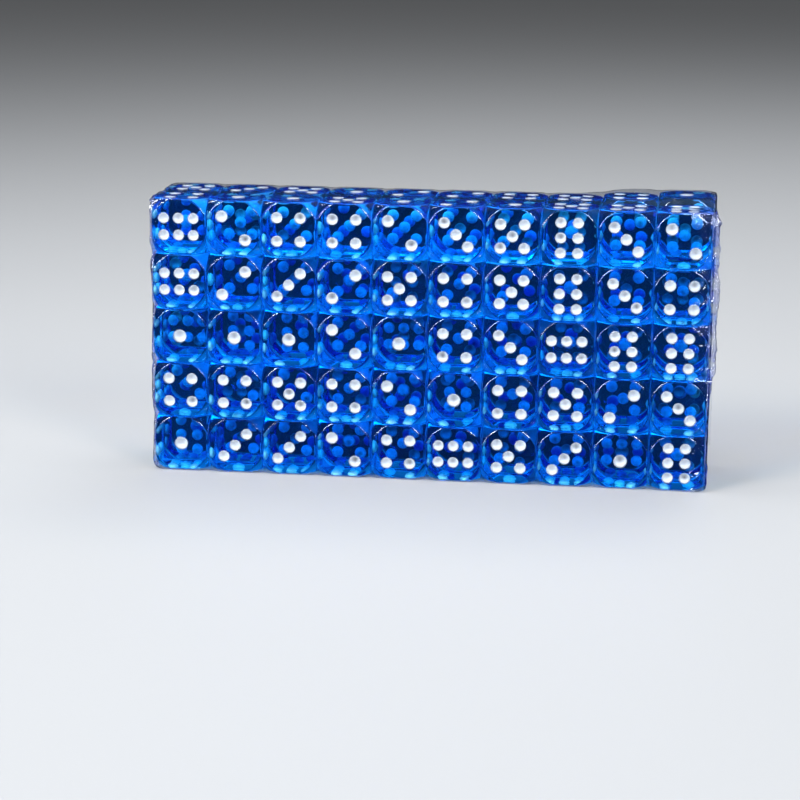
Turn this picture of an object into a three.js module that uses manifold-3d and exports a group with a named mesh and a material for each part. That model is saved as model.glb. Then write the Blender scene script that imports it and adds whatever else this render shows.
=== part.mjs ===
// A shrink-wrapped brick of translucent round-corner dice: ten columns, five rows, two layers.
// Millimetres, +Z up. The brick stands on its long narrow side. X runs along its length, the front faces -Y,
// and the origin is the centre of its underside.
import * as THREE from "three";
import { mergeVertices } from "three/addons/utils/BufferGeometryUtils.js";
import Module from "manifold-3d";

const wasm = await Module();
wasm.setup();

// ---- The brick: each die is two numbers, the one that faces the front and the one that faces up ----
const frontLayer = [
  "64 21 41 45 21 32 51 65 35 26",
  "63 24 31 23 51 42 56 62 35 41",
  "13 12 15 26 14 45 32 64 65 62",
  "46 41 53 42 21 15 46 54 23 35",
  "12 36 31 21 45 63 56 31 14 65",
];
const backLayer = [
  "15 63 45 31 42 32 54 65 24 51",
  "21 54 36 15 62 41 23 56 31 64",
  "46 12 65 24 31 53 14 62 45 26",
  "35 64 21 53 12 45 36 24 51 63",
  "62 31 54 13 46 21 65 32 14 56",
];
const dieGap = 0.1; // air between neighbouring dice

// ---- One die ----
const dieSide = 16;
const straightEdge = 6; // what the rounded corners leave of each edge
const cornerSteps = [2, 1]; // straight steps round each corner of a face, in the front and the back layer

// ---- Spots: shallow drilled cones, by the number on the face ----
const spotDiameter = { 1: 3.9, 2: 3.55, 3: 3.35, 4: 3.35, 5: 3.35, 6: 3.2 };
const spotDepth = 0.6;
const spotSides = 5;
const spotOffset = 3.4; // from the face's centre to a corner spot of the 2, 3, 4 and 5, along each side
const sixAlong = 4.35; // spacing of the 6 along its rows of three
const sixAcross = 2.45; // from the face's centre line to each row of three

// ---- Shrink film ----
const filmThickness = 0.1;
const filmClearance = 0.1; // between the film and the dice
const ventLength = 12; // the opening that the folded film leaves at each end
const ventWidth = 5;
const sealMargin = 10; // the welded seam up the middle of each end stops this far from the top and bottom
const sealOut = 1.2;
const sealThickness = 0.4;

// ---- Joining pads, which make one solid of each row of the back layer ----
const padSide = 6;

const columns = frontLayer[0].split(" ").length;
const rows = frontLayer.length;
const layers = 2;
const pitch = dieSide + dieGap;
const brick = {
  width: columns * pitch - dieGap,
  depth: layers * pitch - dieGap,
  height: rows * pitch - dieGap,
};
const floorToDice = filmThickness + filmClearance;

// Where each number sits on a die that has its 1 up and its 2 to the front.
const faceNormal = {
  1: new THREE.Vector3(0, 0, 1),
  2: new THREE.Vector3(0, -1, 0),
  3: new THREE.Vector3(-1, 0, 0),
  4: new THREE.Vector3(1, 0, 0),
  5: new THREE.Vector3(0, 1, 0),
  6: new THREE.Vector3(0, 0, -1),
};

function spotCentres(number) {
  const n = faceNormal[number];
  const out = n.clone().multiplyScalar(dieSide / 2);
  const [d, l, w] = [spotOffset, sixAlong, sixAcross];
  // The two directions in the face: along Y and Z where the face allows it, else along X.
  const a = n.y === 0 ? new THREE.Vector3(0, 1, 0) : new THREE.Vector3(1, 0, 0);
  const b = n.z === 0 ? new THREE.Vector3(0, 0, 1) : new THREE.Vector3(1, 0, 0);
  const layout = {
    1: [[0, 0]],
    2: [[-d, d], [d, -d]],
    3: [[-d, d], [0, 0], [d, -d]],
    4: [[-d, d], [d, d], [-d, -d], [d, -d]],
    5: [[-d, d], [d, d], [0, 0], [-d, -d], [d, -d]],
    6: [-l, 0, l].flatMap((along) => [[along, -w], [along, w]]),
  }[number];
  return layout.map(([u, v]) => out.clone().addScaledVector(a, u).addScaledVector(b, v));
}

function solidFrom(geometry) {
  const bare = new THREE.BufferGeometry()
    .setAttribute("position", geometry.getAttribute("position"))
    .setIndex(geometry.getIndex());
  const merged = mergeVertices(bare, 1e-4);
  return new wasm.Manifold(
    new wasm.Mesh({
      numProp: 3,
      vertProperties: new Float32Array(merged.getAttribute("position").array),
      triVerts: new Uint32Array(merged.getIndex().array),
    }),
  );
}

function geometryFrom(solid) {
  const mesh = solid.getMesh();
  return new THREE.BufferGeometry()
    .setAttribute("position", new THREE.BufferAttribute(new Float32Array(mesh.vertProperties), 3))
    .setIndex(new THREE.BufferAttribute(new Uint32Array(mesh.triVerts), 1));
}

// A block whose eight corners are turned to a ball, as a die's are: flat faces, straight edges between the
// corners, and a ball-shaped patch on each corner. grow moves every surface out by that much.
function roundCornerBlock(width, depth, height, steps, grow = 0) {
  const half = dieSide / 2 + grow; // of the die that the corners come from
  const plainFaceRadius = Math.hypot(dieSide / 2, straightEdge / 2);
  const ballRadius = Math.hypot(dieSide / 2, plainFaceRadius) + grow; // about the die's centre
  const faceRadius = Math.sqrt(ballRadius ** 2 - half ** 2);
  const edge = Math.sqrt(faceRadius ** 2 - half ** 2); // half the length of a die's straight edge
  const shift = [width, depth, height].map((size) => size / 2 - dieSide / 2);
  const from = Math.atan2(edge, half);
  const to = Math.PI / 2 - from;
  // Arc k lies on the face across axis k, in the octant where x, y and z are positive.
  const arc = (k) =>
    Array.from({ length: steps + 1 }, (_, i) => {
      const angle = from + ((to - from) * i) / steps;
      const p = [0, 0, 0];
      p[k] = half;
      p[(k + 1) % 3] = faceRadius * Math.cos(angle);
      p[(k + 2) % 3] = faceRadius * Math.sin(angle);
      return p;
    });
  const apex = Array(3).fill(ballRadius / Math.sqrt(3));
  const positions = [];
  const triangle = (points, flip) => positions.push(...(flip ? points.toReversed() : points).flat());
  const placed = (p, sign) => p.map((value, k) => sign[k] * (value + shift[k]));
  const signs = [1, -1].flatMap((x) => [1, -1].flatMap((y) => [1, -1].map((z) => [x, y, z])));
  for (const sign of signs) {
    const flip = sign[0] * sign[1] * sign[2] < 0;
    for (const k of [0, 1, 2]) {
      const points = arc(k);
      for (let i = 0; i < steps; i++)
        triangle([points[i], points[i + 1], apex].map((p) => placed(p, sign)), !flip);
    }
  }
  for (const k of [0, 1, 2])
    for (const side of [1, -1]) {
      const quarters = [[1, 1], [-1, 1], [-1, -1], [1, -1]];
      const outline = quarters.flatMap(([u, v]) => {
        const sign = [0, 0, 0];
        sign[k] = side;
        sign[(k + 1) % 3] = u;
        sign[(k + 2) % 3] = v;
        const points = arc(k).map((p) => placed(p, sign));
        return u * v > 0 ? points : points.toReversed();
      });
      for (let i = 1; i < outline.length - 1; i++)
        triangle([outline[0], outline[i], outline[i + 1]], side < 0);
    }
  const geometry = new THREE.BufferGeometry();
  geometry.setAttribute("position", new THREE.Float32BufferAttribute(positions, 3));
  return mergeVertices(geometry, 1e-4);
}

// The turn that brings one number to the front and another to the top.
function turnFor(frontNumber, topNumber) {
  const front = faceNormal[frontNumber];
  const top = faceNormal[topNumber];
  const left = front.clone().cross(top);
  const own = new THREE.Matrix4().makeBasis(front, top, left);
  const wanted = new THREE.Matrix4().makeBasis(
    new THREE.Vector3(0, -1, 0),
    new THREE.Vector3(0, 0, 1),
    new THREE.Vector3(-1, 0, 0),
  );
  return wanted.multiply(own.transpose());
}

// A cone whose wide end is flush with the face and whose point is inside the die.
function spotCutter(number, centre, normal) {
  const past = 0.2; // how far the cone runs on above the face, at the same slope
  const radius = spotDiameter[number] / 2;
  const geometry = new THREE.ConeGeometry(
    (radius * (spotDepth + past)) / spotDepth,
    spotDepth + past,
    spotSides,
  );
  geometry.translate(0, -(spotDepth + past) / 2 + spotDepth, 0);
  const inward = normal.clone().negate();
  const aim = new THREE.Quaternion().setFromUnitVectors(new THREE.Vector3(0, 1, 0), inward);
  geometry.applyQuaternion(aim);
  geometry.translate(centre.x, centre.y, centre.z);
  return solidFrom(geometry);
}

const plainDice = cornerSteps.map((steps) =>
  solidFrom(roundCornerBlock(dieSide, dieSide, dieSide, steps)),
);

// The directions in which a die lies on the outside of the brick.
function outwardSides(column, row, layer) {
  const sides = [];
  if (column === 0) sides.push(new THREE.Vector3(-1, 0, 0));
  if (column === columns - 1) sides.push(new THREE.Vector3(1, 0, 0));
  if (layer === 0) sides.push(new THREE.Vector3(0, -1, 0));
  if (layer === layers - 1) sides.push(new THREE.Vector3(0, 1, 0));
  if (row === 0) sides.push(new THREE.Vector3(0, 0, 1));
  if (row === rows - 1) sides.push(new THREE.Vector3(0, 0, -1));
  return sides;
}

// A die turned as it lies in the brick, about its own centre. Only the spots on the brick's outside are
// drilled, which keeps the solids light.
function dieSolid(code, column, row, layer) {
  const turn = turnFor(Number(code[0]), Number(code[1]));
  const outward = outwardSides(column, row, layer);
  let die = plainDice[layer];
  for (const number of [1, 2, 3, 4, 5, 6]) {
    const normal = faceNormal[number].clone().applyMatrix4(turn).round();
    if (!outward.some((side) => side.equals(normal))) continue;
    for (const centre of spotCentres(number))
      die = die.subtract(spotCutter(number, centre.applyMatrix4(turn), normal));
  }
  return die;
}

function dieCentre(column, row, layer) {
  return new THREE.Vector3(
    -brick.width / 2 + dieSide / 2 + column * pitch,
    -brick.depth / 2 + dieSide / 2 + layer * pitch,
    floorToDice + brick.height - dieSide / 2 - row * pitch,
  );
}

// Ten dice of the back layer, joined by a small pad between each two.
function backRowSolid(codes, row) {
  let joined;
  codes.forEach((code, column) => {
    const { x } = dieCentre(column, row, 1);
    const die = dieSolid(code, column, row, 1).translate([x, 0, 0]);
    joined = joined ? joined.add(die) : die;
    if (column === 0) return;
    const pad = new THREE.BoxGeometry(2 * dieGap, padSide, padSide);
    pad.translate(x - pitch / 2, 0, 0);
    joined = joined.add(solidFrom(pad));
  });
  return joined;
}

// The film: a skin of even thickness over the whole brick, with an oval opening at each end and a welded
// seam that stands up each end.
function filmSolid() {
  const { width, depth, height } = brick;
  const skin = (grow) => solidFrom(roundCornerBlock(width, depth, height, cornerSteps[0], grow));
  const outer = filmClearance + filmThickness;
  const sealHeight = height - 2 * sealMargin;
  let film = skin(outer);
  for (const side of [1, -1]) {
    const seal = new THREE.BoxGeometry(sealOut + filmThickness / 2, sealThickness, sealHeight);
    seal.translate(side * (width / 2 + outer + sealOut / 2 - filmThickness / 4), 0, 0);
    film = film.add(solidFrom(seal));
  }
  film = film.subtract(skin(filmClearance));
  const oval = new THREE.CylinderGeometry(1, 1, width + 4 * (outer + sealOut), 16);
  oval.rotateZ(Math.PI / 2);
  oval.scale(1, ventWidth / 2, ventLength / 2);
  return film.subtract(solidFrom(oval));
}

const dieMaterial = new THREE.MeshStandardMaterial({
  name: "translucent_blue_acrylic",
  color: 0x0a62d6,
  roughness: 0.08,
  metalness: 0,
  transparent: true,
  opacity: 0.6,
});
const filmMaterial = new THREE.MeshStandardMaterial({
  name: "clear_shrink_film",
  color: 0xf2f6fa,
  roughness: 0.15,
  metalness: 0,
  transparent: true,
  opacity: 0.15,
});

function named(name, solid, material, position) {
  const mesh = new THREE.Mesh(geometryFrom(solid), material);
  mesh.name = name;
  mesh.position.copy(position);
  return mesh;
}

const pack = new THREE.Group();
pack.name = "dice_brick";

const front = new THREE.Group();
frontLayer.forEach((line, row) =>
  line.split(" ").forEach((code, column) => {
    const name = `die_row${row + 1}_col${String(column + 1).padStart(2, "0")}`;
    front.add(named(name, dieSolid(code, column, row, 0), dieMaterial, dieCentre(column, row, 0)));
  }),
);
pack.add(front);

const back = new THREE.Group();
backLayer.forEach((line, row) => {
  const place = dieCentre(0, row, 1).setX(0);
  back.add(named(`back_dice_row${row + 1}`, backRowSolid(line.split(" "), row), dieMaterial, place));
});
pack.add(back);

const filmCentre = new THREE.Vector3(0, 0, floorToDice + brick.height / 2);
pack.add(named("shrink_film", filmSolid(), filmMaterial, filmCentre));

export default pack;
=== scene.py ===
# %% [markdown]
# # A shrink-wrapped brick of blue dice
# The object is one retail brick of a hundred translucent round-corner dice: ten columns, five rows and two
# layers, held square by clear shrink film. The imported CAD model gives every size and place. This script
# replaces its plain solids with finished meshes, one piece of acrylic and one set of painted spots for each
# die, and one skin of film round them all.

# %% The frame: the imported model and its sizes
import math
import random

import bmesh
import bpy
from mathutils import Euler, Matrix, Vector, noise


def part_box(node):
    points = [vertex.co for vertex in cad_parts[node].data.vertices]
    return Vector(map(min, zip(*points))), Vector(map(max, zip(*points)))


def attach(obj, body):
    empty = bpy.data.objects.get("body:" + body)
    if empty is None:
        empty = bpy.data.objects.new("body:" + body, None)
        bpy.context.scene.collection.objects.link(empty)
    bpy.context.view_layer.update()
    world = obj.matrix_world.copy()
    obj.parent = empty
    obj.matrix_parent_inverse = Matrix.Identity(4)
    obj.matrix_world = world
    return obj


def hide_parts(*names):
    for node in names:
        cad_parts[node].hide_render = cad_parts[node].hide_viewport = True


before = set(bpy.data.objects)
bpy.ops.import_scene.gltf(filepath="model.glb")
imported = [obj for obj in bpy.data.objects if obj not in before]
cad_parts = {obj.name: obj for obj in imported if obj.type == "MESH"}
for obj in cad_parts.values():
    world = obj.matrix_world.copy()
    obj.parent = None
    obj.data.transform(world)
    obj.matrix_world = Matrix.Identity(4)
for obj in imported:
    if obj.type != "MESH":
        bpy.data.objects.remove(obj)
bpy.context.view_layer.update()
MM = 0.001

first_low, first_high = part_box("die_row1_col01")
below_low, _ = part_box("die_row2_col01")
beside_low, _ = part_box("die_row1_col02")
SIDE = first_high.x - first_low.x
PITCH = beside_low.x - first_low.x
print(f"a die is {SIDE / MM:.1f} mm, and its neighbour starts {PITCH / MM:.1f} mm on")

# %% [markdown]
# ## Helpers
# Colours are written as sRGB hex values, as a paint chart gives them, and Blender's sockets want linear
# values, so one function converts them. A second one adds a node with its inputs and settings, for shader
# trees and geometry trees alike. A third makes a mesh object that lies where its vertices are.

# %% Colours, nodes and mesh objects
def linear(hex_code):
    """An sRGB hex colour as linear RGBA."""
    values = [int(hex_code[i:i + 2], 16) / 255 for i in (1, 3, 5)]
    return [v / 12.92 if v <= 0.04045 else ((v + 0.055) / 1.055) ** 2.4 for v in values] + [1.0]


def add(tree, kind, inputs=None, **settings):
    """Adds a node to a tree. inputs maps an input's name or number to a value or to another node's output."""
    node = tree.nodes.new(kind)
    for name, value in settings.items():
        setattr(node, name, value)
    for key, value in (inputs or {}).items():
        if isinstance(value, bpy.types.NodeSocket):
            tree.links.new(value, node.inputs[key])
        else:
            node.inputs[key].default_value = value
    return node


def new_object(name, mesh):
    made = bpy.data.objects.new(name, mesh)
    bpy.context.scene.collection.objects.link(made)
    return made


def evaluated_mesh(source, name):
    """The mesh that an object's modifiers make, as plain data."""
    graph = bpy.context.evaluated_depsgraph_get()
    mesh = bpy.data.meshes.new_from_object(source.evaluated_get(graph), depsgraph=graph)
    mesh.name = name
    return mesh


# %% [markdown]
# ## The camera
# The brick is seen from about 0.7 m with a long lens, a little to the right and above. A long lens keeps the
# rows nearly parallel, and the slight roll is that of a camera on a hand-set tripod.

# %% The camera
def aim(thing, target, roll=0.0):
    way = (target - thing.location).to_track_quat("-Z", "Y").to_matrix().to_4x4()
    thing.matrix_world = Matrix.Translation(thing.location) @ way @ Matrix.Rotation(roll, 4, "Z")


camera_data = bpy.data.cameras.new("camera")
camera_data.lens = 107
camera_data.sensor_width = 36
camera = new_object("camera", camera_data)
camera.location = Vector((81.8, -679.5, 184.2)) * MM
aim(camera, Vector((-7.6, -16.0, 23.8)) * MM, roll=0.0075)
bpy.context.scene.camera = camera
print(f"the camera stands {camera.location.length:.2f} m from the brick")

# %% [markdown]
# ## The studio
# Clear plastic has no colour of its own to show until light comes through it, so the studio matters as much
# as the material. Two soft boxes in front light the spots, a wide one hangs overhead, and a weak one behind
# keeps the back from going dark. Two strips beside the front ones show only as highlights: they draw the
# bright arcs on the rounded rims. Photographers also stand cards round clear things, which only the clear
# thing shows: here the world does that, brighter upwards and at the sides, for rays that have passed through
# plastic.

# %% Lights
def soft_box(name, place, size, watts, target=(0, 0, 40)):
    data = bpy.data.lights.new(name, "AREA")
    data.shape = "RECTANGLE"
    data.size, data.size_y = size
    data.energy = watts
    lamp = new_object(name, data)
    lamp.visible_camera = False
    lamp.location = Vector(place) * MM
    aim(lamp, Vector(target) * MM)
    return lamp


soft_box("key_left", (-640, -700, 760), (0.4, 0.4), 10.5)
soft_box("fill_right", (600, -720, 620), (0.3, 0.45), 5.5)
soft_box("overhead", (-60, 60, 700), (0.9, 0.7), 6.0).visible_glossy = False
soft_box("behind", (300, 700, 900), (0.6, 0.3), 3.0).visible_glossy = False
for strip in (soft_box("strip_left", (-730, -700, 460), (0.4, 0.55), 17.0),
              soft_box("strip_right", (640, -720, 640), (0.3, 0.4), 12.0)):
    strip.visible_diffuse = False
    strip.visible_transmission = False

# %% The world: dim walls, a light ceiling, and cards that only the plastic shows
world = bpy.data.worlds.new("room")
world.use_nodes = True
room = world.node_tree
height = add(room, "ShaderNodeSeparateXYZ", {0: add(room, "ShaderNodeTexCoord").outputs["Generated"]})
ceiling = add(room, "ShaderNodeMapRange", {
    "Value": height.outputs["Z"], "From Min": 0.4, "From Max": 1.0, "To Min": 0.012, "To Max": 0.3})
aside = add(room, "ShaderNodeMath", {0: height.outputs["X"]}, operation="ABSOLUTE")
reach = add(room, "ShaderNodeMath", {
    0: aside.outputs[0], 1: 0.5, 2: height.outputs["Z"]}, operation="MULTIPLY_ADD")
cards = add(room, "ShaderNodeMapRange", {
    "Value": reach.outputs[0], "From Min": 0.12, "From Max": 0.95, "To Min": 0.09, "To Max": 2.0})
ray = add(room, "ShaderNodeLightPath")
through = add(room, "ShaderNodeMix", {
    0: ray.outputs["Is Transmission Ray"], 2: ceiling.outputs[0], 3: cards.outputs[0]})
backdrop = add(room, "ShaderNodeMix", {0: ray.outputs["Is Camera Ray"], 2: through.outputs[0], 3: 0.3})
room.links.new(backdrop.outputs[0], room.nodes["Background"].inputs["Strength"])
room.nodes["Background"].inputs["Color"].default_value = linear("#FFFFFF")
bpy.context.scene.world = world
bpy.context.scene.view_settings.view_transform = "Standard"

# %% How light is followed through a hundred dice
paths = bpy.context.scene.cycles
paths.caustics_refractive = False
paths.max_bounces = 32
paths.transmission_bounces = 32
paths.glossy_bounces = 12
paths.transparent_max_bounces = 64

# %% [markdown]
# ## The floor
# A matt pale board. The dice don't mirror it, and through them it is given a painted shade, nearly black, as
# if a dark card lay behind them: otherwise its paleness would wash their deep blue out.

# %% The floor
def new_material(name):
    material = bpy.data.materials.new(name)
    material.use_nodes = True
    material.node_tree.nodes.clear()
    return material, material.node_tree


floor_mesh = bpy.data.meshes.new("floor")
floor_mesh.from_pydata([(-3, -3, 0), (3, -3, 0), (3, 3, 0), (-3, 3, 0)], [], [(0, 1, 2, 3)])
floor = new_object("floor", floor_mesh)
floor_material, tree = new_material("matt_pale_board")
grain = add(tree, "ShaderNodeTexNoise", {
    "Vector": add(tree, "ShaderNodeTexCoord").outputs["Object"], "Scale": 900.0, "Detail": 2.0})
tooth = add(tree, "ShaderNodeBump", {"Height": grain.outputs[0], "Strength": 0.1, "Distance": 0.0002})
# painted shade: rays that have come through the plastic see the board as #33363A, while the lit board is
# #B2B5B9
shade = add(tree, "ShaderNodeMix", {
    0: add(tree, "ShaderNodeLightPath").outputs["Is Transmission Ray"],
    6: linear("#B2B5B9"), 7: linear("#33363A")}, data_type="RGBA")
board = add(tree, "ShaderNodeBsdfPrincipled", {
    "Base Color": shade.outputs[2], "Roughness": 0.6, "Normal": tooth.outputs[0]})
add(tree, "ShaderNodeOutputMaterial", {"Surface": board.outputs[0]})
floor_mesh.materials.append(floor_material)
floor.visible_glossy = False

# %% [markdown]
# ## Blue acrylic
# The dice are injection-moulded clear plastic, dyed through. The colour is in the depth, not on the surface:
# a thin edge is pale and a deep view is dark, which Volume Absorption does by itself. Red goes first, green
# next, and blue hardly at all. The surface is polished, with the faint waves of a mould and a few soft scuffs
# from the bin. Lamps shine straight in, by a Transparent shader that only shadow rays see, so that the spots
# on the far faces light up inside.

# %% Blue acrylic
DYE = (0.0, 0.79, 0.978)
DYE_DENSITY = 220.0


def blue_acrylic():
    """Polished moulded acrylic, IOR 1.49: clear rims, bright spots inside and a deep even blue."""
    material, tree = new_material("translucent_blue_acrylic")
    place = add(tree, "ShaderNodeTexCoord").outputs["Object"]
    waves = add(tree, "ShaderNodeTexNoise", {"Vector": place, "Scale": 160.0, "Detail": 1.0})
    rub = add(tree, "ShaderNodeTexNoise", {
        "Vector": place, "Scale": 1400.0, "Detail": 3.0, "Roughness": 0.65, "Distortion": 1.2})
    scuffed = add(tree, "ShaderNodeMapRange", {
        "Value": rub.outputs[0], "From Min": 0.55, "From Max": 0.8, "To Min": 0.05, "To Max": 0.14})
    surface = add(tree, "ShaderNodeBump", {
        "Height": waves.outputs[0], "Strength": 0.25, "Distance": 0.0001})
    shader = add(tree, "ShaderNodeBsdfPrincipled", {
        "Base Color": linear("#FFFFFF"), "Roughness": scuffed.outputs[0], "IOR": 1.49,
        "Transmission Weight": 1.0, "Normal": surface.outputs[0]})
    inside = add(tree, "ShaderNodeVolumeAbsorption", {"Color": (*DYE, 1.0), "Density": DYE_DENSITY})
    path = add(tree, "ShaderNodeLightPath")
    clear = add(tree, "ShaderNodeBsdfTransparent")
    lamps_pass = add(tree, "ShaderNodeMixShader", {
        0: path.outputs["Is Shadow Ray"], 1: shader.outputs[0], 2: clear.outputs[0]})
    add(tree, "ShaderNodeOutputMaterial", {"Surface": lamps_pass.outputs[0], "Volume": inside.outputs[0]})
    return material


ACRYLIC = blue_acrylic()
lost = [round(1 - math.exp(-DYE_DENSITY * (1 - c) * SIDE), 2) for c in DYE]
print("in one die a ray loses", lost, "of its red, green and blue")

# %% [markdown]
# ## White paint
# The spots are drilled hollows filled with a wash of white paint and wiped. Paint runs to the rim and is
# thinnest at the drill's tip, where some spots show a dull smudge. Each hollow carries three values: how near
# a point is to the rim, how thin that hollow's paint is, and how far the wall faces up. The material mixes
# them. The grey is partly thin paint and partly painted shade that every spot gets, moved a little above the
# middle onto the wall that faces down.

# %% White paint
def white_paint():
    """Matt brushed-in lacquer: cool white, a little dusty, grey where it is thin at the tip, with painted
    shade in the middle of every spot, on the wall that faces down.
    """
    material, tree = new_material("white_spot_lacquer")
    place = add(tree, "ShaderNodeTexCoord").outputs["Object"]
    rim = add(tree, "ShaderNodeAttribute", attribute_name="rim").outputs["Fac"]
    thin = add(tree, "ShaderNodeAttribute", attribute_name="thin").outputs["Fac"]
    brush = add(tree, "ShaderNodeTexNoise", {"Vector": place, "Scale": 2600.0, "Detail": 2.0})
    upward = add(tree, "ShaderNodeAttribute", attribute_name="upward").outputs["Fac"]
    # painted shade: the upward value moves the grey middle of each spot onto the wall that faces down
    shifted = add(tree, "ShaderNodeMath", {0: upward, 1: 0.45, 2: rim}, operation="MULTIPLY_ADD")
    tip = add(tree, "ShaderNodeMapRange", {
        "Value": shifted.outputs[0], "From Min": -0.1, "From Max": 0.7, "To Min": 1.0, "To Max": 0.0})
    thinness_with_painted_shade = add(tree, "ShaderNodeMath", {0: thin, 1: 4.0}, operation="POWER")
    # the 0.22 added here is painted shade that every spot gets; the power of thin is the real thin paint
    thinness_with_painted_shade = add(tree, "ShaderNodeMath", {0: thinness_with_painted_shade.outputs[0], 1: 0.75, 2: 0.22}, operation="MULTIPLY_ADD")
    smudge_with_painted_shade = add(tree, "ShaderNodeMath", {0: thinness_with_painted_shade.outputs[0], 1: tip.outputs[0]}, operation="MULTIPLY")
    # 40424E is the grey of thin paint and of the painted shade
    colour = add(tree, "ShaderNodeMix", {
        0: smudge_with_painted_shade.outputs[0], 6: linear("#E8F1FA"), 7: linear("#40424E")}, data_type="RGBA")
    lumps = add(tree, "ShaderNodeBump", {"Height": brush.outputs[0], "Strength": 0.3, "Distance": 0.00008})
    shader = add(tree, "ShaderNodeBsdfPrincipled", {
        "Base Color": colour.outputs[2], "Roughness": 0.45, "Normal": lumps.outputs[0]})
    add(tree, "ShaderNodeOutputMaterial", {"Surface": shader.outputs[0]})
    return material


PAINT = white_paint()

# %% [markdown]
# ## The shape of one die
# A round-corner die is a cube whose corners have been tumbled to a ball, so each face is nearly round and
# keeps only a short straight edge. A cube crossed with a sphere gives just that. It could be made with a
# Boolean, but building each corner as a patch of circles on the ball gives an even grid that shades cleanly,
# and each face as one flat polygon. A small bevel then rounds the rims.

# %% The corners on the ball
FACING = {1: (0, 0, 1), 2: (0, -1, 0), 3: (-1, 0, 0), 4: (1, 0, 0), 5: (0, 1, 0), 6: (0, 0, -1)}
STRAIGHT = 4.6 * MM
ARC_STEPS = 6
EDGE_ROUND = 0.7 * MM
half = SIDE / 2
face_radius = math.hypot(half, STRAIGHT / 2)
ball_radius = math.hypot(half, face_radius)


def corner_patch(bm, sign):
    """One eighth of the ball between three faces, in rows of a shrinking number of points."""
    first = math.acos(half / face_radius)
    rows = []
    for i in range(ARC_STEPS + 1):
        x = face_radius * math.cos(first + (math.pi / 2 - 2 * first) * i / ARC_STEPS)
        ring = math.sqrt(ball_radius ** 2 - x ** 2)
        start = math.acos(min(1, half / ring))
        count = ARC_STEPS - i
        row = []
        for j in range(count + 1):
            turn = start + (math.pi / 2 - 2 * start) * (j / count if count else 0.5)
            y, z = ring * math.cos(turn), ring * math.sin(turn)
            row.append(bm.verts.new((sign[0] * x, sign[1] * y, sign[2] * z)))
        rows.append(row)
    for low, high in zip(rows, rows[1:]):
        for j in range(len(high)):
            bm.faces.new((low[j], low[j + 1], high[j]))
            if j + 1 < len(high):
                bm.faces.new((low[j + 1], high[j + 1], high[j]))


# %% The plain die
def plain_die():
    bm = bmesh.new()
    for sign in [(x, y, z) for x in (1, -1) for y in (1, -1) for z in (1, -1)]:
        corner_patch(bm, sign)
    bmesh.ops.remove_doubles(bm, verts=bm.verts[:], dist=0.001 * MM)
    for axis in range(3):
        for side in (1, -1):
            rim = [v for v in bm.verts if abs(v.co[axis] - side * half) < 1e-7]
            u, w = (axis + 1) % 3, (axis + 2) % 3
            rim.sort(key=lambda v: math.atan2(v.co[w], v.co[u]))
            bm.faces.new(rim)
    bmesh.ops.recalc_face_normals(bm, faces=bm.faces[:])
    weight = bm.edges.layers.float.new("bevel_weight_edge")
    for edge in bm.edges:
        flats = sum(len(face.verts) > 4 for face in edge.link_faces)
        edge[weight] = (0, 0.4, 1)[flats]
    mesh = bpy.data.meshes.new("plain_die")
    bm.to_mesh(mesh)
    bm.free()
    made = new_object("plain_die", mesh)
    bevel = made.modifiers.new("rounded_edges", "BEVEL")
    bevel.limit_method = "WEIGHT"
    bevel.width = EDGE_ROUND
    bevel.segments = 3
    return made


die = plain_die()
print(f"each face is a disc of {2 * face_radius / MM:.1f} mm cut off at {SIDE / MM:.1f} mm")

# %% [markdown]
# ## Where the spots go
# Opposite faces add up to seven. The points carry the direction that each hollow faces and its radius, so
# one tree can place the drill and the paint alike: a face with fewer spots has bigger ones.

# %% The points of the spots
OFFSET, ALONG, ACROSS = 3.4 * MM, 4.35 * MM, 2.45 * MM
DIAMETER = {1: 4.0, 2: 3.65, 3: 3.45, 4: 3.45, 5: 3.45, 6: 3.3}


def spot_places():
    d, l, w = OFFSET, ALONG, ACROSS
    layout = {
        1: [(0, 0)],
        2: [(-d, d), (d, -d)],
        3: [(-d, d), (0, 0), (d, -d)],
        4: [(-d, d), (d, d), (-d, -d), (d, -d)],
        5: [(-d, d), (d, d), (0, 0), (-d, -d), (d, -d)],
        6: [(a, b) for a in (-l, 0, l) for b in (-w, w)],
    }
    for number, facing in FACING.items():
        out = Vector(facing)
        a = Vector((0, 1, 0)) if out.y == 0 else Vector((1, 0, 0))
        b = Vector((0, 0, 1)) if out.z == 0 else Vector((1, 0, 0))
        for u, v in layout[number]:
            yield number, out * half + a * u + b * v, out


def spot_points():
    mesh = bpy.data.meshes.new("spot_points")
    places = list(spot_places())
    mesh.from_pydata([place for _, place, _ in places], [], [])
    columns = {
        "facing": ("FLOAT_VECTOR", "vector", [x for _, _, out in places for x in out]),
        "radius": ("FLOAT", "value", [DIAMETER[number] / 2 * MM for number, _, _ in places]),
    }
    for label, (kind, field, values) in columns.items():
        mesh.attributes.new(label, kind, "POINT").data.foreach_set(field, values)
    return mesh


points = new_object("points", spot_points())
print(len(points.data.vertices), "spots on a die")

# %% [markdown]
# ## The hollow and its paint
# Both are turned shapes, so one lathe makes them, in units of the spot's radius. The drill's tip is blunt and
# its wall steep, which shades each spot from grey at its top to white at its foot, helped by painted shade in
# the paint on the wall that faces down. The paint's back reaches just into the acrylic, with no air between,
# so from inside the spots are clean discs.

# %% A lathe for small shapes
SPOT_SIDES = 14
DEPTH = 0.62  # of the radius


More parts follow.
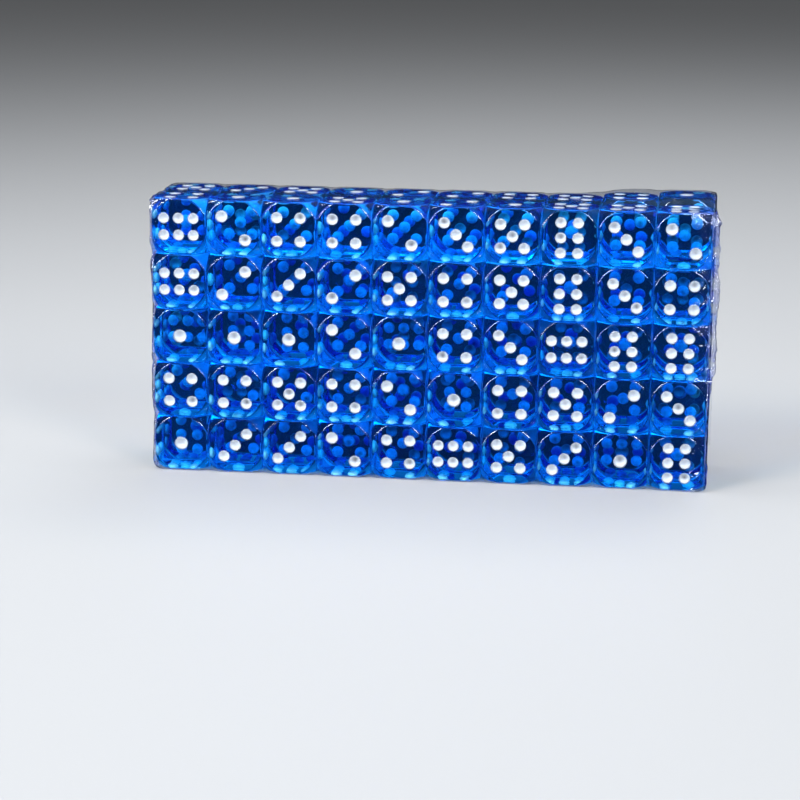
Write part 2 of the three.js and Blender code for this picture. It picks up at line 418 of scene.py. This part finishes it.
def turned(profile, name):
    """A closed shape turned about Z from a profile of (radius, height), with the distance from the axis."""
    bm = bmesh.new()
    rim = bm.verts.layers.float.new("rim")
    rings = []
    for r, z in profile:
        around = [math.tau * i / SPOT_SIDES for i in range(SPOT_SIDES if r else 1)]
        ring = [bm.verts.new((r * math.cos(a), r * math.sin(a), z)) for a in around]
        for vert in ring:
            vert[rim] = r
        rings.append(ring * (1 if r else SPOT_SIDES))
    for a, b in zip(rings, rings[1:]):
        for i in range(SPOT_SIDES):
            j = (i + 1) % SPOT_SIDES
            corners = []
            for v in (a[i], a[j], b[j], b[i]):
                if v not in corners:
                    corners.append(v)
            bm.faces.new(corners)
    bmesh.ops.recalc_face_normals(bm, faces=bm.faces[:])
    mesh = bpy.data.meshes.new(name)
    bm.to_mesh(mesh)
    bm.free()
    return new_object(name, mesh)


cup = [(0, -0.95), (0.3, -0.84), (0.72, -0.5), (1.0, 0.006)]
paint_cup = turned([(r, z * DEPTH) for r, z in cup + [(0.74, -0.64), (0, -1.15)]], "paint_cup")
drill = turned([(0, -1.05 * DEPTH), (0.73, -0.57 * DEPTH), (0.985, 0), (1.1, 0.2), (0, 0.2)], "drill")
print(len(paint_cup.data.polygons), "faces in one spot of paint")

# %% [markdown]
# ## Trees that place and cut
# Twenty-one hollows on every die are just what Geometry Nodes are for. The first tree puts a shape on every
# point, turned and scaled by the point's values, and gives each copy its own random thinness of paint. The
# second one cuts the drilled shapes out of the plain die and keeps the rims of the hollows crisp.

# %% Tree helpers
def new_geometry_tree(name, inputs):
    """A tree with its named inputs, and the node that gives them."""
    tree = bpy.data.node_groups.new(name, "GeometryNodeTree")
    tree.interface.new_socket("Geometry", in_out="INPUT", socket_type="NodeSocketGeometry")
    for label, kind in inputs:
        tree.interface.new_socket(label, in_out="INPUT", socket_type=kind)
    tree.interface.new_socket("Geometry", in_out="OUTPUT", socket_type="NodeSocketGeometry")
    return tree, add(tree, "NodeGroupInput")


def run_tree(source, tree, values, name):
    """Runs a tree on an object with these inputs, and gives the result as a plain mesh."""
    modifier = source.modifiers.new("nodes", "NODES")
    modifier.node_group = tree
    keys = {item.name: item.identifier for item in tree.interface.items_tree if item.in_out == "INPUT"}
    for label, value in values.items():
        modifier[keys[label]] = value
    made = evaluated_mesh(source, name)
    source.modifiers.remove(modifier)
    return made


# %% The tree that puts a shape on every spot
def spots_tree():
    tree, given = new_geometry_tree("spots_on_points", [
        ("Shape", "NodeSocketObject"), ("Material", "NodeSocketMaterial"), ("Seed", "NodeSocketInt")])
    facing = add(tree, "GeometryNodeInputNamedAttribute", {"Name": "facing"}, data_type="FLOAT_VECTOR")
    radius = add(tree, "GeometryNodeInputNamedAttribute", {"Name": "radius"}, data_type="FLOAT")
    turn = add(tree, "FunctionNodeAlignRotationToVector", {"Vector": facing.outputs["Attribute"]}, axis="Z")
    shape = add(tree, "GeometryNodeObjectInfo", {"Object": given.outputs["Shape"]})
    copies = add(tree, "GeometryNodeInstanceOnPoints", {
        "Points": given.outputs["Geometry"], "Instance": shape.outputs["Geometry"],
        "Rotation": turn.outputs[0], "Scale": radius.outputs["Attribute"]})
    chance = add(tree, "FunctionNodeRandomValue", {"Seed": given.outputs["Seed"]}, data_type="FLOAT")
    marked = add(tree, "GeometryNodeStoreNamedAttribute", {
        "Geometry": copies.outputs[0], "Name": "thin", "Value": chance.outputs[1]},
        data_type="FLOAT", domain="INSTANCE")
    real = add(tree, "GeometryNodeRealizeInstances", {"Geometry": marked.outputs[0]})
    smooth = add(tree, "GeometryNodeSetShadeSmooth", {"Geometry": real.outputs[0]})
    painted = add(tree, "GeometryNodeSetMaterial", {
        "Geometry": smooth.outputs[0], "Material": given.outputs["Material"]})
    add(tree, "NodeGroupOutput", {"Geometry": painted.outputs[0]})
    return tree


SPOTS = spots_tree()
paint_meshes = [
    run_tree(points, SPOTS, {"Shape": paint_cup, "Material": PAINT, "Seed": seed}, f"paint_{seed}")
    for seed in range(12)]
print(len(paint_meshes), "kinds of paintwork, of", len(paint_meshes[0].polygons), "faces each")

# %% The tree that cuts the hollows
def body_tree():
    tree, given = new_geometry_tree("hollowed_die", [
        ("Drills", "NodeSocketObject"), ("Crisp angle", "NodeSocketFloat"),
        ("Material", "NodeSocketMaterial")])
    drills = add(tree, "GeometryNodeObjectInfo", {"Object": given.outputs["Drills"]})
    cut = add(tree, "GeometryNodeMeshBoolean", {
        "Mesh 1": given.outputs["Geometry"], "Mesh 2": drills.outputs["Geometry"]},
        operation="DIFFERENCE", solver="EXACT")
    angle = add(tree, "GeometryNodeInputMeshEdgeAngle")
    sharp = add(tree, "FunctionNodeCompare", {"A": angle.outputs[0], "B": given.outputs["Crisp angle"]},
                data_type="FLOAT", operation="GREATER_THAN")
    smooth = add(tree, "GeometryNodeSetShadeSmooth", {"Geometry": cut.outputs[0]})
    crisp = add(tree, "GeometryNodeSetShadeSmooth", {
        "Geometry": smooth.outputs[0], "Selection": sharp.outputs[0], "Shade Smooth": False}, domain="EDGE")
    real = add(tree, "GeometryNodeRealizeInstances", {"Geometry": crisp.outputs[0]})
    done = add(tree, "GeometryNodeSetMaterial", {
        "Geometry": real.outputs[0], "Material": given.outputs["Material"]})
    add(tree, "NodeGroupOutput", {"Geometry": done.outputs[0]})
    return tree


drilled = run_tree(points, SPOTS, {"Shape": drill, "Material": PAINT, "Seed": 0}, "drills")
drills = new_object("drills", drilled)
die.data = run_tree(die, body_tree(), {
    "Drills": drills, "Crisp angle": math.radians(32), "Material": ACRYLIC}, "acrylic_die")

# %% [markdown]
# ## Clean shading
# A flat face that meets a small rounded rim looks domed if its normals are averaged with the rim's. The
# Weighted Normal modifier lets the big face win, which keeps the faces flat and the rims round.

# %% Weighted normals
die.modifiers.clear()
weighted = die.modifiers.new("weighted", "WEIGHTED_NORMAL")
weighted.keep_sharp = True
weighted.weight = 80
body_mesh = evaluated_mesh(die, "acrylic_die")
for spare in (points, drills, paint_cup, drill, die):
    bpy.data.objects.remove(spare)
print(len(body_mesh.vertices), "points and", len(body_mesh.polygons), "faces in one die")

# %% [markdown]
# ## A hundred dice
# Each die is written as two digits, the number that faces the front and the one on top, in reading order.
# Nothing else is free: the two together fix how the die is turned. Every die sits a fifth of a degree askew,
# as packed dice do, and takes one of the twelve kinds of paintwork. The last two of the upper back row have
# been squeezed up a little.

# %% How a die is turned
FRONT = [
    "64 21 41 45 21 32 51 65 35 26", "63 24 31 23 51 42 56 62 35 41", "13 12 15 26 14 45 32 64 65 62",
    "46 41 53 42 21 15 46 54 23 35", "12 36 31 21 45 63 56 31 14 65"]
BACK = [
    "15 63 45 31 42 32 54 65 24 51", "21 54 36 15 62 41 23 56 31 64", "46 12 65 24 31 53 14 62 45 26",
    "35 64 21 53 12 45 36 24 51 63", "62 31 54 13 46 21 65 32 14 56"]


def turn_for(front_number, top_number):
    front, top = Vector(FACING[front_number]), Vector(FACING[top_number])
    own = Matrix((front, top, front.cross(top)))
    wanted = Matrix(((0, -1, 0), (0, 0, 1), (-1, 0, 0))).transposed()
    return (wanted @ own).to_4x4()


# %% Every die in its place
RIDE_UP = {"back_row1_col09": 0.85 * MM, "back_row1_col10": 1.75 * MM}
chance = random.Random(7)
ROW_STEP = first_low.z - below_low.z
front_centre = (first_low + first_high) / 2
dice = 0
for layer, layout in enumerate((FRONT, BACK)):
    for row, line in enumerate(layout):
        for column, code in enumerate(line.split()):
            centre = front_centre + Vector((column * PITCH, layer * PITCH, -row * ROW_STEP))
            askew = Euler([math.radians(chance.uniform(-0.2, 0.2)) for _ in range(3)]).to_matrix().to_4x4()
            label = f"{'back' if layer else 'front'}_row{row + 1}_col{column + 1:02d}"
            centre.z += RIDE_UP.get(label, 0)
            place = Matrix.Translation(centre) @ askew @ turn_for(int(code[0]), int(code[1]))
            node = f"back_dice_row{row + 1}" if layer else f"die_row{row + 1}_col{column + 1:02d}"
            paint_mesh = paint_meshes[chance.randrange(len(paint_meshes))]
            kinds = (("acrylic", body_mesh, "blue_acrylic"), ("paint", paint_mesh, "white_paint"))
            for kind, source, slot in kinds:
                mesh = source.copy()
                mesh.transform(place)
                if kind == "paint":
                    # how far each point of the paint faces up, which places the painted shade on walls that
                    # face down
                    upward = [normal for vert in mesh.vertices for normal in vert.normal[2:]]
                    mesh.attributes.new("upward", "FLOAT", "POINT").data.foreach_set("value", upward)
                piece = new_object(f"{kind}_{label}", mesh)
                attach(piece, "root")
                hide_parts(node)
            dice += 1
print(dice, "dice, with", dice * len(body_mesh.polygons), "faces of acrylic")

# %% [markdown]
# ## The shrink film
# A sleeve of clear film is slipped over the stack, welded at both ends and shrunk with hot air. It pulls
# flat across the faces, dips a little into the hollows between the dice, and rounds over the brick's edges.
# The ends can't shrink evenly, so there the film gathers in folds round the oval left open, and on one side
# a fold stands proud. Cloth simulation would make soft folds, not these taut sharp ones, so the skin is
# a grid on the brick's box, moved point by point: each point knows how near it is to a joint between dice
# and to an end. Over the two dice that ride up, the film is lifted like a tent.

# %% Where the grid's lines go
film_low, film_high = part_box("shrink_film")
WELD = 1.2 * MM
skin_low = Vector((film_low.x + WELD, film_low.y, film_low.z))
skin_high = Vector((film_high.x - WELD, film_high.y, film_high.z))
skin_middle = (skin_low + skin_high) / 2
STEP = {"x": 1.5 * MM, "y": 0.95 * MM, "z": 0.95 * MM}
HOLLOW = 3.6 * MM  # how far from a joint the film starts to dip
GATHER = 11 * MM  # how far from an end it gathers
SAG = 0.5 * MM
FOLD = 0.55 * MM
CRUMPLE = 1.5 * MM
EAR = 2.2 * MM  # how far the fold at one end stands out


def joints(first, count, pitch):
    """Where dice meet along one axis, with the two outer ends."""
    return [first + i * pitch for i in range(count + 1)]


last_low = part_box("die_row5_col01")[0]
GAP = PITCH - SIDE
JOINTS = [
    joints(first_low.x - GAP / 2, 10, PITCH),
    joints(first_low.y - GAP / 2, 2, PITCH),
    joints(last_low.z - GAP / 2, 5, ROW_STEP)]


def grid_lines(low, high, step, fine_ends):
    count = round((high - low) / step)
    places = [low + (high - low) * i / count for i in range(count + 1)]
    for d in (0.2, 0.45, 0.7):
        places += [low + d * MM, high - d * MM]
    if fine_ends:
        for i in range(1, 20):
            places += [low + i * 0.6 * MM, high - i * 0.6 * MM]
    places = sorted(places)
    kept = [places[0]]
    for place in places[1:]:
        if place - kept[-1] > 0.15 * MM:
            kept.append(place)
    kept[-1] = high
    return kept


LINES = [
    grid_lines(skin_low.x, skin_high.x, STEP["x"], True),
    grid_lines(skin_low.y, skin_high.y, STEP["y"], False),
    grid_lines(skin_low.z, skin_high.z, STEP["z"], False)]
print("the film's grid is", " by ".join(str(len(lines)) for lines in LINES), "lines")

# %% How the film lies
def bump(t):
    """1 at nought, falling smoothly to 0 at 1 and beyond."""
    t = min(1.0, abs(t))
    return (1 - t * t) ** 2


def near_joint(value, places):
    return bump(min(abs(value - place) for place in places) / HOLLOW)


def ridge(vector):
    """Sharp-crested noise from 0 to 1, as film folds: flat between narrow crests."""
    return (1 - min(1.0, abs(noise.noise(vector)) * 2.4)) ** 3


def ramp(value, start, length):
    """0 before start, rising smoothly to 1 a length later."""
    t = min(1.0, max(0.0, (value - start) / length))
    return t * t * (3 - 2 * t)


def tent(p):
    """How far the two dice that ride up lift the film."""
    along = ramp(p.x, JOINTS[0][8] - 10 * MM, 20 * MM)
    across = ramp(p.y, JOINTS[1][1] - 7 * MM, 7 * MM)
    return RIDE_UP["back_row1_col10"] * along * across * ramp(p.z, skin_high.z - 9 * MM, 9 * MM)


def lie(p):
    """Where a point of the box's surface lies on the film, and how crumpled the film is there."""
    near = [near_joint(p[a], JOINTS[a]) for a in range(3)]
    inner = [near_joint(p[a], JOINTS[a][1:-1]) for a in range(3)]
    radius = (0.4 + 1.7 * near[0] * near[1] * near[2]) * MM
    q = Vector([min(max(p[a], skin_low[a] + radius), skin_high[a] - radius) for a in range(3)])
    out = (p - q).normalized()
    share = [out[a] ** 2 for a in range(3)]
    sag = sum(share[a] * inner[(a + 1) % 3] * inner[(a + 2) % 3] for a in range(3)) * SAG
    side = 1 if p.x > skin_middle.x else -1
    end = bump((skin_high.x - skin_middle.x - abs(p.x - skin_middle.x)) / GATHER) * (1 if side > 0 else 0.45)
    streaks = ridge(Vector((p.x / (14 * MM), p.y / (2.6 * MM), p.z / (2.6 * MM))))
    pleats = ridge(Vector((p.y / (1.9 * MM), p.z / (20 * MM), 9.0 * side)))
    fold = ((1 - share[0]) * end * streaks + share[0] * pleats) * FOLD
    up = p.z - skin_low.z
    rough_edge = 0.8 + 0.5 * abs(noise.noise(Vector((up / (2.4 * MM), 3.0, side))))
    tall = bump((up - 64 * MM) / (30 * MM)) + 0.8 * bump((up - 38 * MM) / (16 * MM))
    at_edge = bump((p.y - skin_low.y) / (4 * MM)) * bump((skin_high.x - p.x) / (2.4 * MM))
    ear = at_edge * tall * rough_edge
    corner = bump((skin_high.z - p.z) / (7 * MM)) * bump((p.y - skin_low.y) / (9 * MM)) * end
    patch = max(0.0, 2.5 * noise.noise(Vector((up / (9 * MM), 4.0, 5.0 * side))) - 0.1)
    upright = min(1.0, patch) * bump((p.y - skin_low.y) / (4 * MM)) * bump(
        (skin_high.x - skin_middle.x - abs(p.x - skin_middle.x)) / (5 * MM))
    crumple = (corner + 0.5 * upright) * abs(noise.noise(p / (1.4 * MM))) * CRUMPLE
    lain = q + out * (radius - sag + fold + crumple) + Vector((EAR * ear, 0, 0))
    lain.z = max(lain.z + tent(p), skin_low.z)
    return lain, min(1.0, 0.9 * end + 1.0 * share[0] + corner + upright) * (1 - 0.8 * share[2])


# %% The film's mesh
def film_skin():
    bm = bmesh.new()
    marks = bm.verts.layers.float.new("crinkle")
    made = {}

    def point(index):
        if index not in made:
            place, crinkle = lie(Vector([LINES[a][index[a]] for a in range(3)]))
            made[index] = bm.verts.new(place)
            made[index][marks] = crinkle
        return made[index]

    last = [len(lines) - 1 for lines in LINES]
    for axis in range(3):
        u, w = (axis + 1) % 3, (axis + 2) % 3
        for end in (0, last[axis]):
            for i in range(last[u]):
                for j in range(last[w]):
                    corners = []
                    for a, b in ((i, j), (i + 1, j), (i + 1, j + 1), (i, j + 1)):
                        index = [0, 0, 0]
                        index[axis], index[u], index[w] = end, a, b
                        corners.append(point(tuple(index)))
                    bm.faces.new(corners if end else corners[::-1])
    return bm


skin = film_skin()
print(len(skin.faces), "faces in the film before it has a wall")

# %% [markdown]
# ## The open ovals and the welds
# The air leaves through an oval at each end, where the shrinking film draws back to a smooth rim. The weld
# stands up as a thin fin above and below it, slightly wavy from the heat.

# %% The ovals and the welds
VENT_HIGH, VENT_WIDE = 12 * MM, 5 * MM
WELD_MARGIN = 10 * MM


def oval_distance(co):
    return math.hypot((co.y - skin_middle.y) / (VENT_WIDE / 2), (co.z - skin_middle.z) / (VENT_HIGH / 2))


def on_an_end(face):
    return abs(face.normal.x) > 0.5 and abs(face.calc_center_median().x) > skin_high.x - 2 * MM


opened = [f for f in skin.faces if on_an_end(f) and oval_distance(f.calc_center_median()) < 1]
bmesh.ops.delete(skin, geom=opened, context="FACES")
for edge in [e for e in skin.edges if len(e.link_faces) == 1]:
    for vert in edge.verts:
        away = oval_distance(vert.co)
        vert.co.y = skin_middle.y + (vert.co.y - skin_middle.y) / away
        vert.co.z = skin_middle.z + (vert.co.z - skin_middle.z) / away

marks = skin.verts.layers.float["crinkle"]
for side, start in ((-1, skin_low.x), (1, skin_high.x)):
    for low, high in ((skin_low.z + WELD_MARGIN, skin_middle.z - VENT_HIGH / 2 - MM),
                      (skin_middle.z + VENT_HIGH / 2 + MM, skin_high.z - WELD_MARGIN)):
        previous = None
        for i in range(25):
            z = low + (high - low) * i / 24
            wave = 0.35 * MM * noise.noise(Vector((z / (5 * MM), side, 2)))
            pair = []
            for share in (0.0, 0.5, 1.0):
                vert = skin.verts.new((start + side * share * WELD, skin_middle.y + wave * share, z))
                vert[marks] = 0.6
                pair.append(vert)
            if previous:
                for k in range(2):
                    skin.faces.new((previous[k], previous[k + 1], pair[k + 1], pair[k]))
            previous = pair

# %% [markdown]
# ## The film's finish
# Shrink film is polyolefin a few hundredths of a millimetre thick. Face on it is nearly invisible, and at
# a glancing angle it mirrors the lamps, so its shader mixes a mirror into a Transparent one by the Fresnel
# share of clear plastic, and more where gathered film lies in layers. Its fine crinkles come from stretched
# noise, strong only where the mesh says that the film is gathered. The real ones are finer than a tenth of
# a millimetre, and are drawn coarser to show.

# %% Clear film
def clear_film():
    """Shrunk polyolefin: clear and taut on the faces, bright creases at the gathered ends."""
    material, tree = new_material("shrunk_clear_film")
    place = add(tree, "ShaderNodeTexCoord").outputs["Object"]
    gathered = add(tree, "ShaderNodeAttribute", attribute_name="crinkle").outputs["Fac"]
    stretched = add(tree, "ShaderNodeMapping", {"Vector": place, "Scale": (1.0, 1.0, 0.35)})
    creases = add(tree, "ShaderNodeTexNoise", {
        "Vector": stretched.outputs[0], "Scale": 1100.0, "Detail": 3.0, "Roughness": 0.6, "Distortion": 0.8})
    drape = add(tree, "ShaderNodeTexNoise", {"Vector": place, "Scale": 90.0, "Detail": 1.0})
    strength = add(tree, "ShaderNodeMath", {0: gathered, 1: 0.9, 2: 0.015}, operation="MULTIPLY_ADD")
    soft = add(tree, "ShaderNodeBump", {"Height": drape.outputs[0], "Strength": 0.15, "Distance": 0.0003})
    surface = add(tree, "ShaderNodeBump", {
        "Height": creases.outputs[0], "Strength": strength.outputs[0], "Distance": 0.0006,
        "Normal": soft.outputs[0]})
    haze = add(tree, "ShaderNodeMapRange", {
        "Value": creases.outputs[0], "From Min": 0.3, "From Max": 0.7, "To Min": 0.03, "To Max": 0.09})
    mirror = add(tree, "ShaderNodeBsdfPrincipled", {
        "Base Color": linear("#FFFFFF"), "Metallic": 1.0, "Roughness": haze.outputs[0],
        "Normal": surface.outputs[0]})
    clear = add(tree, "ShaderNodeBsdfTransparent", {"Color": linear("#FCFDFF")})
    share = add(tree, "ShaderNodeFresnel", {"IOR": 1.5, "Normal": surface.outputs[0]})
    behind = add(tree, "ShaderNodeNewGeometry").outputs["Backfacing"]
    front = add(tree, "ShaderNodeMath", {0: 1.0, 1: behind}, operation="SUBTRACT")
    layers = add(tree, "ShaderNodeMath", {0: gathered, 1: 1.4, 2: 1.0}, operation="MULTIPLY_ADD")
    folded = add(tree, "ShaderNodeMath", {
        0: share.outputs[0], 1: layers.outputs[0]}, operation="MULTIPLY", use_clamp=True)
    once = add(tree, "ShaderNodeMath", {0: folded.outputs[0], 1: front.outputs[0]}, operation="MULTIPLY")
    film = add(tree, "ShaderNodeMixShader", {0: once.outputs[0], 1: clear.outputs[0], 2: mirror.outputs[0]})
    add(tree, "ShaderNodeOutputMaterial", {"Surface": film.outputs[0]})
    return material


# %% The finished film
film_mesh = bpy.data.meshes.new("film")
skin.to_mesh(film_mesh)
skin.free()
film_mesh.materials.append(clear_film())
film_mesh.polygons.foreach_set("use_smooth", [True] * len(film_mesh.polygons))
film = new_object("film", film_mesh)
wall = film.modifiers.new("wall", "SOLIDIFY")
wall.thickness = 0.05 * MM
wall.offset = -1
walled = evaluated_mesh(film, "film")
film.modifiers.clear()
film.data = walled
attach(film, "root")
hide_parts("shrink_film")
print(len(walled.polygons), "faces in the film")
